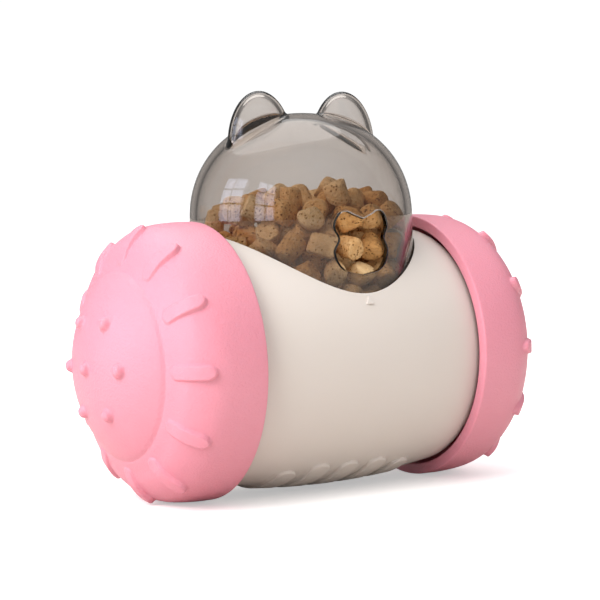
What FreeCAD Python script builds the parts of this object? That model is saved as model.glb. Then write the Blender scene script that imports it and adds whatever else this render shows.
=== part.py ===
import FreeCAD, Part
import math
import os

# Wobble treat dispenser: a crowned barrel that hangs between two free-turning cup wheels,
# with a see-through domed head full of treats standing in its top.
# The weight in the barrel's belly keeps the head up while the whole thing rocks and rolls.
# Frame: millimetres, origin on the floor under the barrel, +X along the wheels' axle,
# -Y to the front where the outlet is, +Z up.

os.makedirs("parts", exist_ok=True)
V = FreeCAD.Vector

# Driving dimensions of the wheels
wheel_r = 50.3
rim_plane_x = 46.4
tread_wall = 3.35
band_width = 8.1
band_fall = 0.1
shoulder_depth = 26.4
shoulder_drop = 8.3
upper_shoulder_depth = 17.1
upper_shoulder_drop = 1.3
lower_shoulder_depth = 22.6
lower_shoulder_drop = 4.3
face_slope = 4.7
crease_r = 33.0
crease_depth = 0.4
dome_rise = 12.7
rim_edge_round = 0.7
bar_count = 12
bar_width = 5.8
bar_height = 1.5
bar_start_depth = 21.5
bar_end_r = 40.0
bump_r = 2.6
bump_sink = 0.3
bump_ring_r = 17.0
bump_ring_count = 6

# Driving dimensions of the wheels' cores
core_gap = 0.12
core_web = 2.4
core_web_x = 66.0
core_rim_width = 9.0
core_rim_wall = 2.6
core_spokes = 6
core_spoke_height = 4.0
hub_r = 9.0
hub_length = 15.4
running_gap = 0.08
thrust_gap = 0.15

# Driving dimensions of the barrel
barrel_floor_gap = 2.1
barrel_crown = 3.25
barrel_crown_x = 45.4
barrel_wall = 2.2
seam_x = 46.0
end_round = 8.0
spigot_depth = 5.0
spigot_wall = 1.8
spigot_gap = 0.15
mouth_gap = 0.45
mouth_edge_round = 0.2
belly_rib_count = 5
belly_rib_pitch = 12.3
belly_rib_width = 8.6
belly_rib_height = 0.7
belly_rib_sweep = 66.0
belly_rib_outer_sweep = 56.0
mark_width = 3.2
mark_height = 2.6
mark_raise = 0.5
mark_drop = 1.6

# Driving dimensions of the axles
journal_r = 4.9
thrust_r = 10.5
thrust_rise = 1.2
washer_r = 8.0
washer_thick = 1.2

# Driving dimensions of the head
head_inset = 6.75
head_wall = 2.6
dome_base_rise = 49.8
dome_height = 39.3
dome_power = 2.136
ear_offset = 18.2
ear_back = -2.2
ear_rise = 77.3
ear_half_width = 12.9
ear_half_depth = 8.4
ear_half_height = 19.8
ear_wall = 2.2
outlet_rise = 37.8
outlet_half_width = 10.9
outlet_waist_half = 9.2
outlet_waist_rise = 4.9
outlet_brow_rise = 9.4
outlet_ear_rise = 14.5
outlet_ear_x = 6.8
outlet_valley_rise = 11.7
outlet_drop = 7.9
outlet_cheek_half = 7.6
outlet_cheek_drop = 5.85
outlet_ear_half = 2.4
outlet_ear_fall = 1.05
outlet_edge_round = 0.5
foot_wall = 1.3
foot_gap = 0.3
lug_height = 2.6
lug_half_angle = 9.0
lug_base_rise = 3.0

# Driving dimensions of the hopper that the head stands in
hopper_top_rise = 6.1
hopper_floor = 3.2
socket_gap = 0.2
socket_wall = 1.6
socket_lip = 1.6
socket_clear = 0.3
lug_gap = 0.3
twist_travel = 35.0
twist_margin = 2.0
spreader_r = 26.0
spreader_rise = 14.0
spreader_tip_r = 5.0
spreader_hollow_r = 20.9
spreader_hollow_rise = 11.2
spreader_hollow_tip_r = 2.5
ledge_half_length = 22.0
ledge_reach = 4.4
ledge_height = 4.0
seal_height = 1.6
seal_inset = 0.05

# Driving dimensions of the weight
weight_half_length = 22.0
weight_gap = 0.25
weight_stand_off = 2.0
weight_top_drop = 24.0
weight_edge = 1.2
cradle_x = 14.0
cradle_width = 2.5
cradle_half_angle = 36.0
clamp_width = 12.0
clamp_thick = 2.5
clamp_overhang = 4.5

# Driving dimensions of the self-tapping screws and their posts
screw_r = 1.5
screw_gap = 0.05
screw_head_r = 2.9
screw_head_height = 1.7
screw_head_gap = 0.3
screw_length = 8.0
screw_slot = 0.8
screw_slot_depth = 0.9
axle_screw_head_r = 4.0
axle_screw_head_height = 2.4
axle_screw_length = 11.0
post_r = 3.6
post_x = 28.0
post_y = 22.0
end_post_inset = 4.6
end_post_length = 8.0
end_post_angles = (30, -30, -90, -150, 150)
end_screw_floor = 2.4

# Driving dimensions of the treats
treat_r = 5.0
treat_height = 9.0
treat_round = 3.4
treat_depth = 50.1
treat_packing = 0.5
treat_gap = 0.03
treat_wall_gap = 0.85
treat_heap_slope = 0.4
treat_heap_x = 9.0
treat_sink = 0.25
treat_sink_turns = 200
treat_rest_turns = 160
treat_turn_step = 137.5

# Allowances of the modelling itself
overshoot = 1.0
tolerance = 0.01

# Places worked out from the driving dimensions
axle_z = wheel_r
barrel_mid_r = wheel_r - barrel_floor_gap
head_r = barrel_mid_r - head_inset
head_in_r = head_r - head_wall
foot_r = head_in_r + foot_wall
crown_r = (barrel_crown_x ** 2 + barrel_crown ** 2) / (2 * barrel_crown)
crown_tilt = math.asin(seam_x / crown_r)
hopper_top_z = axle_z + hopper_top_rise
hopper_low_z = hopper_top_z - hopper_floor
skirt_z = hopper_top_z + seal_height
mouth_r = head_r + mouth_gap
socket_r = foot_r + socket_gap
lug_low_z = skirt_z + lug_base_rise
channel_low_z = lug_low_z - lug_gap
channel_high_z = lug_low_z + lug_height + lug_gap
channel_r = head_r + lug_gap
socket_top_z = channel_high_z + socket_lip
dome_base_z = axle_z + dome_base_rise
head_top_z = dome_base_z + dome_height
AXLE = V(0, 0, axle_z)
XDIR = V(1, 0, 0)
YDIR = V(0, 1, 0)
ZDIR = V(0, 0, 1)
REACH = 4 * wheel_r


def crown_radius(x, offset=0.0):
    """Radius of the crowned barrel at x, moved out by offset."""
    return barrel_mid_r - crown_r + math.sqrt((crown_r + offset) ** 2 - x ** 2)


end_post_ring_r = crown_radius(seam_x, -barrel_wall) - end_post_inset


def at(x, r):
    """Point of a profile at x along the axle and r from it."""
    return V(x, 0, axle_z + r)


def up(r, z):
    """Point of a profile at radius r from the head's axis and height z."""
    return V(r, 0, z)


def line(a, b):
    return Part.makeLine(a, b)


def arc(a, b, c):
    return Part.Arc(a, b, c).toShape()


def spline(points):
    curve = Part.BSplineCurve()
    curve.interpolate(points)
    return curve.toShape()


def turned(edges, base=AXLE, axis=XDIR, angle=360):
    """Solid turned from a closed outline about an axis."""
    return Part.Face(Part.Wire(edges)).revolve(base, axis, angle)


def closed(points):
    return [line(a, b) for a, b in zip(points, points[1:] + points[:1])]


def rod(r, length, base, axis):
    return Part.makeCylinder(r, length, base, axis)


def block(x0, x1, y0, y1, z0, z1):
    return Part.makeBox(x1 - x0, y1 - y0, z1 - z0, V(x0, y0, z0))


def fused(shapes):
    return shapes[0].multiFuse(shapes[1:]).removeSplitter() if len(shapes) > 1 else shapes[0]


def spun(shape, angle, base=AXLE, axis=XDIR):
    copy = shape.copy()
    copy.rotate(base, axis, angle)
    return copy


def mirrored(shape):
    return shape.mirror(V(0, 0, 0), XDIR)


def export(shape, node):
    solids = shape.Solids
    result = solids[0] if len(solids) == 1 else Part.Compound(solids)
    print(node, "solids", len(solids), "volume", round(result.Volume), "valid", result.isValid())
    result.exportStep("parts/" + node + ".step")


def screw(base, axis, head_r, head_height, length):
    """Slotted pan-head screw whose head sits on base, with the shank along axis."""
    head = rod(head_r, head_height, base, axis * -1)
    head = head.makeFillet(head_height / 3, [e for e in head.Edges if e.Closed and
                           abs((e.CenterOfMass - base).dot(axis) + head_height) < tolerance])
    shank = rod(screw_r, length - screw_r, base, axis)
    tip = Part.makeCone(screw_r, screw_r / 3, screw_r, base + axis * (length - screw_r), axis)
    side = YDIR if abs(axis.dot(YDIR)) < 0.5 else XDIR
    slot = Part.makeBox(2 * head_r, screw_slot, screw_slot_depth)
    slot.translate(V(-head_r, -screw_slot / 2, -screw_slot_depth))
    slot.Placement = FreeCAD.Placement(base - axis * head_height,
                                       FreeCAD.Rotation(side, V(0, 0, 0), axis * -1, "ZXY")
                                       ).multiply(slot.Placement)
    return fused([head, shank, tip]).cut(slot)


# Barrel


def crowned_body(offset, half_length):
    """Solid inside the crowned surface moved out by offset."""
    ends = [at(-half_length, crown_radius(half_length, offset)),
            at(half_length, crown_radius(half_length, offset))]
    middle = at(0, crown_radius(0, offset))
    return turned([arc(ends[0], middle, ends[1]), line(ends[1], at(half_length, 0)),
                   line(at(half_length, 0), at(-half_length, 0)),
                   line(at(-half_length, 0), ends[0])])


def belly_ribs(skin):
    """Low rounded ribs that run side by side round the barrel's belly."""
    swell = ((belly_rib_width / 2) ** 2 + belly_rib_height ** 2) / (2 * belly_rib_height)
    ribs = []
    for i in range(belly_rib_count):
        x = (i - (belly_rib_count - 1) / 2) * belly_rib_pitch
        outer = i in (0, belly_rib_count - 1)
        sweep = belly_rib_outer_sweep if outer else belly_rib_sweep
        r = crown_radius(x, belly_rib_height) - swell
        low = V(x, 0, axle_z - r)
        ring = Part.Face(Part.Wire(Part.makeCircle(swell, low, YDIR)))
        ring = spun(ring, -sweep / 2).revolve(AXLE, XDIR, sweep)
        ends = [Part.makeSphere(swell, spun(Part.Vertex(low), s * sweep / 2).Point)
                for s in (-1, 1)]
        ribs.append(fused([ring] + ends).common(skin))
    return ribs


def entry_mark(skin):
    """Raised triangle under the mouth that shows where the outlet goes when the head is put in."""
    edge_z = axle_z + math.sqrt(crown_radius(0) ** 2 - mouth_r ** 2)
    tip = edge_z - mark_drop
    corners = [V(0, 0, tip), V(mark_width / 2, 0, tip - mark_height),
               V(-mark_width / 2, 0, tip - mark_height)]
    prism = Part.Face(Part.Wire(closed(corners))).extrude(V(0, -REACH, 0))
    return prism.common(skin).cut(rod(mouth_r + mouth_edge_round, REACH, AXLE, ZDIR))


def end_posts():
    """Posts along the axle at the barrel's end, one for each screw of its end cap."""
    posts = []
    for angle in end_post_angles:
        post = rod(post_r, end_post_length, at(seam_x - end_post_length, 0), XDIR)
        root = block(seam_x - end_post_length, seam_x, -post_r, post_r, axle_z,
                     axle_z + barrel_mid_r - end_post_ring_r)
        post = post.fuse(root)
        post.translate(V(0, 0, end_post_ring_r))
        posts.append(spun(post, angle - 90))
    return posts


def end_screw_places():
    """Axis points on the end plane of the screws that hold an end cap."""
    return [V(0, end_post_ring_r * math.cos(math.radians(a)),
              end_post_ring_r * math.sin(math.radians(a)) + axle_z) for a in end_post_angles]


def barrel_shell():
    skin = crowned_body(0, seam_x)
    inside = crowned_body(-barrel_wall, seam_x)
    shell = skin.cut(crowned_body(-barrel_wall, seam_x + overshoot))
    mouth = rod(mouth_r, REACH, AXLE, ZDIR)
    shell = shell.cut(mouth)
    rim = [e for e in shell.Edges if abs(mouth_distance(e)) < 5 * tolerance and on_skin(e)]
    shell = shell.makeFillet(mouth_edge_round, rim)

    ledges = [block(-ledge_half_length, ledge_half_length, s * crown_radius(0, -barrel_wall)
                    - ledge_reach, s * crown_radius(0, -barrel_wall) + ledge_reach,
                    hopper_low_z - ledge_height, hopper_low_z) for s in (-1, 1)]
    posts = [rod(post_r, hopper_low_z - axle_z + REACH, V(x, y, axle_z - REACH), ZDIR)
             for x in (-post_x, post_x) for y in (-post_y, post_y)]
    clamp_x = weight_half_length + weight_gap + clamp_overhang
    posts += [rod(post_r, REACH, V(s * clamp_x, 0, axle_z - weight_top_drop - REACH), ZDIR)
              for s in (-1, 1)]
    cradle_r = crown_radius(cradle_x + cradle_width, -barrel_wall) - weight_stand_off
    for s in (-1, 1):
        x = s * cradle_x - cradle_width / 2
        disc = rod(REACH, cradle_width, V(x, 0, axle_z), XDIR)
        disc = disc.cut(rod(cradle_r, cradle_width, V(x, 0, axle_z), XDIR))
        wedge = closed([V(x, 0, axle_z)] + [
            V(x, t * REACH * math.sin(math.radians(cradle_half_angle)),
              axle_z - REACH * math.cos(math.radians(cradle_half_angle))) for t in (-1, 1)])
        posts.append(disc.common(Part.Face(Part.Wire(wedge)).extrude(V(cradle_width, 0, 0))))
    posts += end_posts() + [mirrored(p) for p in end_posts()]
    insides = [p.common(crowned_body(-barrel_wall / 2, seam_x)) for p in ledges + posts]
    raised = crowned_body(belly_rib_height, seam_x).cut(inside)
    raised_mark = crowned_body(mark_raise, seam_x).cut(inside)
    shell = fused([shell] + insides + belly_ribs(raised) + [entry_mark(raised_mark)])

    holes = [rod(screw_r + screw_gap, screw_length, V(x, y, hopper_low_z - screw_length), ZDIR)
             for x in (-post_x, post_x) for y in (-post_y, post_y)]
    holes += [rod(screw_r + screw_gap, screw_length,
                  V(s * clamp_x, 0, axle_z - weight_top_drop - screw_length), ZDIR)
              for s in (-1, 1)]
    for p in end_screw_places():
        hole = rod(screw_r + screw_gap, end_post_length, p + XDIR * (seam_x - end_post_length),
                   XDIR)
        holes += [hole, mirrored(hole)]
    return shell.cut(Part.Compound(holes))


def mouth_distance(edge):
    """How far an edge's middle lies from the mouth's cylinder."""
    p = edge.valueAt((edge.FirstParameter + edge.LastParameter) / 2)
    return math.hypot(p.x, p.y) - mouth_r


def on_skin(edge):
    """Whether an edge's middle lies on the barrel's outside."""
    p = edge.valueAt((edge.FirstParameter + edge.LastParameter) / 2)
    return abs(math.hypot(p.y, p.z - axle_z) - crown_radius(p.x)) < 5 * tolerance


def end_profile(offset):
    """Edges of a barrel end from its seam to the axle, moved in by offset, and its face's x."""
    r = crown_radius(seam_x)
    centre = V(seam_x - end_round * math.sin(crown_tilt), 0,
               axle_z + r - end_round * math.cos(crown_tilt))
    radius = end_round - offset
    tilt = math.asin((seam_x - centre.x) / radius)
    points = [centre + V(radius * math.sin(a), 0, radius * math.cos(a))
              for a in (tilt, (tilt + math.pi / 2) / 2, math.pi / 2)]
    return points, centre.x + radius


def end_solid(offset):
    points, face_x = end_profile(offset)
    return turned([arc(*points), line(points[2], at(face_x, 0)), line(at(face_x, 0),
                   at(seam_x, 0)), line(at(seam_x, 0), points[0])])


end_face_x = end_profile(0)[1]
hub_start_x = end_face_x + thrust_rise + thrust_gap
hub_end_x = hub_start_x + hub_length
journal_end_x = hub_end_x + thrust_gap


def barrel_end():
    """Right end cap: domed cup with a spigot inside the barrel and the wheel's stub axle."""
    spigot_r = crown_radius(seam_x, -barrel_wall) - spigot_gap
    spigot = rod(spigot_r, spigot_depth + barrel_wall, at(seam_x - spigot_depth, 0), XDIR)
    spigot = spigot.cut(rod(spigot_r - spigot_wall, spigot_depth + barrel_wall,
                            at(seam_x - spigot_depth, 0), XDIR))
    spigot = spigot.cut(rod(mouth_r + spigot_gap, REACH, V(0, 0, axle_z), ZDIR))
    for angle, p in zip(end_post_angles, end_screw_places()):
        spigot = spigot.cut(rod(post_r + 2 * spigot_gap, REACH, p, XDIR))
        root = block(seam_x - spigot_depth - overshoot, seam_x, -post_r - 2 * spigot_gap,
                     post_r + 2 * spigot_gap, axle_z + end_post_ring_r, axle_z + barrel_mid_r)
        spigot = spigot.cut(spun(root, angle - 90))
    cup = end_solid(0).cut(end_solid(barrel_wall))
    lip = end_solid(0).common(rod(REACH, barrel_wall, at(seam_x, 0), XDIR))
    cup = cup.fuse(lip.cut(rod(spigot_r - spigot_wall, REACH, at(0, 0), XDIR)))
    bosses = []
    holes = []
    for p in end_screw_places():
        bosses.append(rod(post_r + spigot_wall, REACH, p + XDIR * seam_x, XDIR)
                      .common(end_solid(0)))
        holes.append(rod(screw_r + 2 * screw_gap, REACH, p, XDIR))
        holes.append(rod(screw_head_r + screw_head_gap, REACH,
                         p + XDIR * (seam_x + end_screw_floor), XDIR))
    thrust = rod(thrust_r, thrust_rise + barrel_wall, at(end_face_x - barrel_wall, 0), XDIR)
    journal = rod(journal_r, journal_end_x - end_face_x, at(end_face_x, 0), XDIR)
    body = fused([cup, spigot, thrust, journal] + bosses)
    pilot = rod(screw_r + screw_gap, axle_screw_length, at(journal_end_x - axle_screw_length, 0),
                XDIR)
    return body.cut(Part.Compound(holes + [pilot]))


def end_screws():
    x = seam_x + end_screw_floor
    return Part.Compound([screw(p + XDIR * x, XDIR * -1, screw_head_r, screw_head_height,
                                screw_length) for p in end_screw_places()])


# Wheels


def wheel_outline(offset):
    """Points of the wheel's outside from the rim plane to the crease, moved in by offset."""
    outside = [V(rim_plane_x, 0, wheel_r),
               V(rim_plane_x + band_width, 0, wheel_r - band_fall),
               V(rim_plane_x + upper_shoulder_depth, 0, wheel_r - upper_shoulder_drop),
               V(rim_plane_x + lower_shoulder_depth, 0, wheel_r - lower_shoulder_drop),
               V(rim_plane_x + shoulder_depth, 0, wheel_r - shoulder_drop),
               V(rim_plane_x + shoulder_depth + face_slope / 2, 0,
                 (wheel_r - shoulder_drop + crease_r) / 2),
               V(rim_plane_x + shoulder_depth + face_slope, 0, crease_r)]
    curve = Part.BSplineCurve()
    curve.interpolate(outside)
    moved = []
    for p in outside:
        tangent = curve.tangent(curve.parameter(p))[0]
        moved.append(p + V(-tangent.z, 0, tangent.x) * -offset + AXLE)
    moved[0].x = rim_plane_x
    return moved


def cap_radius():
    return (crease_r ** 2 + dome_rise ** 2) / (2 * dome_rise)


cap_base_x = rim_plane_x + shoulder_depth + face_slope + crease_depth
cap_centre_x = cap_base_x + dome_rise - cap_radius()


def wheel_solid(offset, start=rim_plane_x):
    """Solid inside the wheel's outside moved in by offset."""
    points = wheel_outline(offset)
    if start < rim_plane_x:
        points = [V(start, 0, points[0].z)] + points
        edges = [line(points[0], points[1]), spline(points[1:])]
    else:
        edges = [spline(points)]
    last = points[-1]
    edges += [line(last, at(last.x, 0)), line(at(last.x, 0), at(points[0].x, 0)),
              line(at(points[0].x, 0), points[0])]
    body = turned(edges)
    radius = cap_radius() - offset
    ball = Part.makeSphere(radius, at(cap_centre_x, 0))
    keep = rod(crease_r - offset, REACH, at(last.x - tread_wall, 0), XDIR)
    return body.fuse(ball.common(keep))


def bar():
    """Rounded bar that runs over the shoulder of the wheel at the top."""
    swell = ((bar_width / 2) ** 2 + bar_height ** 2) / (2 * bar_height)
    path_points = wheel_outline(swell - bar_height)
    curve = Part.BSplineCurve()
    curve.interpolate(path_points)
    first = nearest(curve, lambda p: p.x - rim_plane_x - bar_start_depth)
    last = nearest(curve, lambda p: axle_z + bar_end_r - swell / 2 - p.z)
    curve.segment(first, last)
    a, b = curve.StartPoint, curve.EndPoint
    ring = Part.Wire(Part.makeCircle(swell, a, curve.tangent(curve.FirstParameter)[0]))
    tube = Part.Wire(curve.toShape()).makePipeShell([ring], True, False)
    return fused([tube, Part.makeSphere(swell, a), Part.makeSphere(swell, b)])


def nearest(curve, rule):
    """Parameter at which rule changes sign along the curve."""
    low, high = curve.FirstParameter, curve.LastParameter
    for _ in range(40):
        middle = (low + high) / 2
        if rule(curve.value(middle)) < 0:
            low = middle
        else:
            high = middle
    return low


def bumps():
    """Round bumps on the wheel's domed middle: one at its centre and a ring of six."""
    radius = cap_radius() - bump_sink
    balls = [Part.makeSphere(bump_r, at(cap_centre_x + radius, 0))]
    lean = math.asin(bump_ring_r / radius)
    place = at(cap_centre_x + radius * math.cos(lean), 0) + YDIR * radius * math.sin(lean)
    ball = Part.makeSphere(bump_r, place)
    balls += [spun(ball, i * 360 / bump_ring_count) for i in range(bump_ring_count)]
    return balls


def wheel_tread():
    skin = wheel_solid(0)
    bars = [spun(bar(), i * 360 / bar_count + 90) for i in range(bar_count)]
    body = skin.multiFuse(bars + bumps())
    body = body.cut(wheel_solid(tread_wall, rim_plane_x - overshoot))
    rim = [e for e in body.Edges if e.Closed and abs(e.CenterOfMass.x - rim_plane_x) < tolerance
           and e.BoundBox.XLength < tolerance]
    return body.makeFillet(rim_edge_round, rim)


def wheel_core():
    room = wheel_solid(tread_wall + core_gap)
    web_end = core_web_x + core_web
    rim_start = web_end - core_rim_width
    disc = rod(wheel_r, core_web, at(core_web_x, 0), XDIR)
    rim = rod(wheel_r, core_rim_width, at(rim_start, 0), XDIR)
    rim_in = wheel_outline(tread_wall + core_gap)[3].z - axle_z - core_rim_wall
    rim = rim.cut(rod(rim_in, core_rim_width, at(rim_start, 0), XDIR))
    hub = rod(hub_r, hub_length, at(hub_start_x, 0), XDIR)
    spokes = []
    for i in range(core_spokes):
        rib = block(core_web_x - core_spoke_height, core_web_x, -core_web / 2, core_web / 2,
                    axle_z, axle_z + rim_in + core_rim_wall / 2)
        spokes.append(spun(rib, i * 360 / core_spokes))
    body = fused([disc, rim, hub] + spokes).common(room)
    return body.cut(rod(journal_r + running_gap, REACH, at(0, 0), XDIR))


def axle_washer():
    disc = rod(washer_r, washer_thick, at(journal_end_x, 0), XDIR)
    return disc.cut(rod(screw_r + 2 * screw_gap, washer_thick, at(journal_end_x, 0), XDIR))


def axle_screw():
    return screw(at(journal_end_x + washer_thick, 0), XDIR * -1, axle_screw_head_r,
                 axle_screw_head_height, axle_screw_length)


# Counterweight


def counterweight():
    x = weight_half_length
    r = crown_radius(cradle_x + cradle_width, -barrel_wall) - weight_stand_off - weight_gap / 2
    r = min(r, crown_radius(x, -barrel_wall) - weight_gap)
    slug = rod(r, 2 * x, at(-x, 0), XDIR)
    slug = slug.common(block(-x, x, -REACH, REACH, axle_z - REACH, axle_z - weight_top_drop))
    ends = [e for e in slug.Edges if e.BoundBox.XLength < tolerance]
    return slug.makeChamfer(weight_edge, ends)


def weight_clamp():
    half = weight_half_length + weight_gap + clamp_overhang
    z = axle_z - weight_top_drop
    bar_ = block(-half, half, -clamp_width / 2, clamp_width / 2, z, z + clamp_thick)
    ends = [rod(clamp_width / 2, clamp_thick, V(s * half, 0, z), ZDIR) for s in (-1, 1)]
    holes = [rod(screw_r + 2 * screw_gap, clamp_thick, V(s * half, 0, z), ZDIR) for s in (-1, 1)]
    return fused([bar_] + ends).cut(Part.Compound(holes))


def weight_clamp_screws():
    half = weight_half_length + weight_gap + clamp_overhang
    z = axle_z - weight_top_drop + clamp_thick
    return Part.Compound([screw(V(s * half, 0, z), ZDIR * -1, screw_head_r, screw_head_height,
                                screw_length) for s in (-1, 1)])


# Hopper


def sector(r_in, r_out, z_low, height, start, end):
    """Part of a ring about the head's axis between two angles."""
    ring = turned(closed([up(r_in, z_low), up(r_out, z_low), up(r_out, z_low + height),
                          up(r_in, z_low + height)]), V(0, 0, 0), ZDIR, end - start)
    return spun(ring, start, V(0, 0, 0), ZDIR)


def spreader_height(r):
    """Rise of the hopper's spreader cone at radius r."""
    return max(0.0, spreader_rise * (spreader_r - r) / (spreader_r - spreader_tip_r))


def treat_hopper():
    outer_r = channel_r + socket_wall
    floor = rod(outer_r, hopper_floor, V(0, 0, hopper_low_z), ZDIR)
    wall = rod(outer_r, socket_top_z - hopper_top_z, V(0, 0, hopper_top_z), ZDIR)
    wall = wall.cut(rod(socket_r, REACH, V(0, 0, hopper_top_z), ZDIR))
    room = crowned_body(-barrel_wall - socket_clear, seam_x)
    body = fused([floor, wall]).common(room)
    slots = []
    for side in (0, 180):
        start = side - lug_half_angle - twist_margin
        slots.append(sector(socket_r - overshoot, channel_r, channel_low_z,
                            channel_high_z - channel_low_z, start,
                            side + lug_half_angle + twist_travel + twist_margin))
        slots.append(sector(socket_r - overshoot, channel_r, channel_low_z, REACH, start,
                            side + lug_half_angle + twist_margin))
    body = body.cut(Part.Compound(slots))
    cone = Part.makeCone(spreader_r, spreader_tip_r, spreader_rise, V(0, 0, hopper_top_z), ZDIR)
    hollow = Part.makeCone(spreader_hollow_r, spreader_hollow_tip_r, spreader_hollow_rise,
                           V(0, 0, hopper_low_z), ZDIR)
    body = body.fuse(cone).cut(hollow)
    holes = []
    for x in (-post_x, post_x):
        for y in (-post_y, post_y):
            holes.append(rod(screw_r + 2 * screw_gap, REACH, V(x, y, hopper_low_z), ZDIR))
            holes.append(rod(screw_head_r + screw_head_gap, REACH,
                             V(x, y, hopper_top_z - screw_head_height - screw_gap), ZDIR))
    return body.cut(Part.Compound(holes))


def hopper_screws():
    z = hopper_top_z - screw_head_height - screw_gap
    return Part.Compound([screw(V(x, y, z), ZDIR * -1, screw_head_r, screw_head_height,
                                screw_length) for x in (-post_x, post_x)
                          for y in (-post_y, post_y)])


def head_seal():
    ring = rod(foot_r - seal_inset, seal_height, V(0, 0, hopper_top_z), ZDIR)
    ring = ring.cut(rod(head_in_r + seal_inset, seal_height, V(0, 0, hopper_top_z), ZDIR))
    return ring


# Head


def dome_r(z, radius, height):
    """Radius of the dome at height z."""
    share = max(0.0, 1 - ((z - dome_base_z) / height) ** dome_power)
    return radius * share ** (1 / dome_power)


def head_body(offset, low_z):
    """Solid inside the head's skirt and dome moved in by offset."""
    radius = head_r - offset
    height = dome_height - offset
    steps = 10
    points = []
    for i in range(steps + 1):
        lean = i * math.pi / 2 / steps
        z = dome_base_z + height * math.sin(lean)
        points.append(up(dome_r(z, radius, height), z))
    points[-1] = up(0, dome_base_z + height)
    curve = Part.BSplineCurve()
    curve.interpolate(points, InitialTangent=ZDIR, FinalTangent=XDIR * -1)
    foot = up(radius, low_z)
    edges = [line(foot, points[0]), curve.toShape(), line(points[-1], up(0, low_z)),
             line(up(0, low_z), foot)]
    return turned(edges, V(0, 0, 0), ZDIR)


def ear(side, offset):
    """One rounded ear, an egg-shaped blister that grows out of the dome."""
    ball = Part.makeSphere(1)
    size = FreeCAD.Matrix()
    size.scale(ear_half_width - offset, ear_half_depth - offset, ear_half_height - offset)
    egg = ball.transformGeometry(size)
    egg.translate(V(side * ear_offset, ear_back, axle_z + ear_rise))
    return egg


def outlet_cutter():
    """Cutter of the outlet: a round chin, a waist and two round ears."""
    side = [(0, -outlet_drop), (outlet_cheek_half, -outlet_cheek_drop),
            (outlet_half_width, 0), (outlet_waist_half, outlet_waist_rise),
            (outlet_half_width, outlet_brow_rise),
            (outlet_ear_x + outlet_ear_half, outlet_ear_rise - outlet_ear_fall),
            (outlet_ear_x, outlet_ear_rise),
            (outlet_ear_x - outlet_ear_half, outlet_ear_rise - outlet_ear_fall),
            (0, outlet_valley_rise)]
    points = side + [(-x, z) for x, z in side[-2:0:-1]]
    curve = Part.BSplineCurve()
    curve.interpolate([V(x, -REACH, axle_z + outlet_rise + z) for x, z in points],
                      PeriodicFlag=True)
    return Part.Face(Part.Wire(curve.toShape())).extrude(V(0, REACH, 0))


def outlet_edge(edge):
    """Whether an edge runs round the outlet."""
    box = edge.BoundBox
    low = axle_z + outlet_rise - outlet_drop
    high = axle_z + outlet_rise + outlet_ear_rise
    return (box.YMax < 0 and max(-box.XMin, box.XMax) < 2 * outlet_half_width and
            box.ZMin > low - overshoot and box.ZMax < high + overshoot)


def treat_head():
    ears = [ear(s, 0) for s in (-1, 1)]
    hollows = [ear(s, ear_wall) for s in (-1, 1)]
    body = head_body(0, skirt_z).multiFuse(ears)
    body = body.cut(head_body(head_wall, skirt_z - overshoot)).cut(Part.Compound(hollows))
    body = body.cut(outlet_cutter())
    edge = [e for e in body.Edges if outlet_edge(e)]
    body = body.makeFillet(outlet_edge_round, edge)
    base = V(0, 0, skirt_z - overshoot)
    recess = rod(head_r + overshoot, socket_top_z + foot_gap - base.z, base, ZDIR)
    body = body.cut(recess.cut(rod(foot_r, REACH, base, ZDIR)))
    lugs = [sector(foot_r - foot_wall / 2, head_r, lug_low_z, lug_height,
                   side - lug_half_angle, side + lug_half_angle) for side in (0, 180)]
    return fused([body] + lugs)


# Treats


def treat_reach():
    """How far a treat's skin reaches from its middle."""
    return math.hypot(treat_r - treat_round, treat_height / 2 - treat_round) + treat_round


def treats_poured(reach):
    """Middles of the treats as they are poured in: rings over rings, heaped to one side."""
    pitch = 2 * reach + treat_gap
    places = []
    z = hopper_top_z + spreader_rise + reach
    while z < head_top_z + REACH / 2:
        r = head_in_r - treat_wall_gap - reach
        while r > 0:
            count = max(1, int(2 * math.pi * r / pitch))
            for i in range(count):
                angle = 2 * math.pi * i / count + math.radians(treat_turn_step) * len(places)
                places.append([r * math.cos(angle), r * math.sin(angle), z])
            r -= pitch
        z += pitch
    places.sort(key=lambda p: p[2] + treat_heap_slope * math.hypot(p[0] - treat_heap_x, p[1]))
    filled = math.pi * head_in_r ** 2 * treat_depth * treat_packing
    return places[:int(filled / (4 / 3 * math.pi * reach ** 3))]


def keep_in_head(p, reach):
    """Moves a treat's middle out of the hopper's floor and spreader and the head's wall."""
    wall_r = head_in_r - treat_wall_gap - reach
    top = dome_height - head_wall - treat_wall_gap - reach
    rise = max(0.0, p[2] - dome_base_z)
    share = ((math.hypot(p[0], p[1]) / wall_r) ** dome_power + (rise / top) ** dome_power)
    if share > 1:
        share **= 1 / dome_power
        p[0] /= share
        p[1] /= share
        p[2] -= rise - rise / share
    p[2] = max(p[2], hopper_top_z + reach)
    r = math.hypot(p[0], p[1])
    run = spreader_r - spreader_tip_r
    slant = math.hypot(run, spreader_rise)
    off_cone = ((r - spreader_r) * spreader_rise + (p[2] - hopper_top_z) * run) / slant
    off_tip = p[2] - hopper_top_z - spreader_rise
    if max(off_cone, off_tip) < reach:
        if off_tip > off_cone:
            p[2] += reach - off_tip
        else:
            push = (reach - off_cone) / slant
            p[2] += push * run
            p[0] += push * spreader_rise * p[0] / max(r, tolerance)
            p[1] += push * spreader_rise * p[1] / max(r, tolerance)


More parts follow.
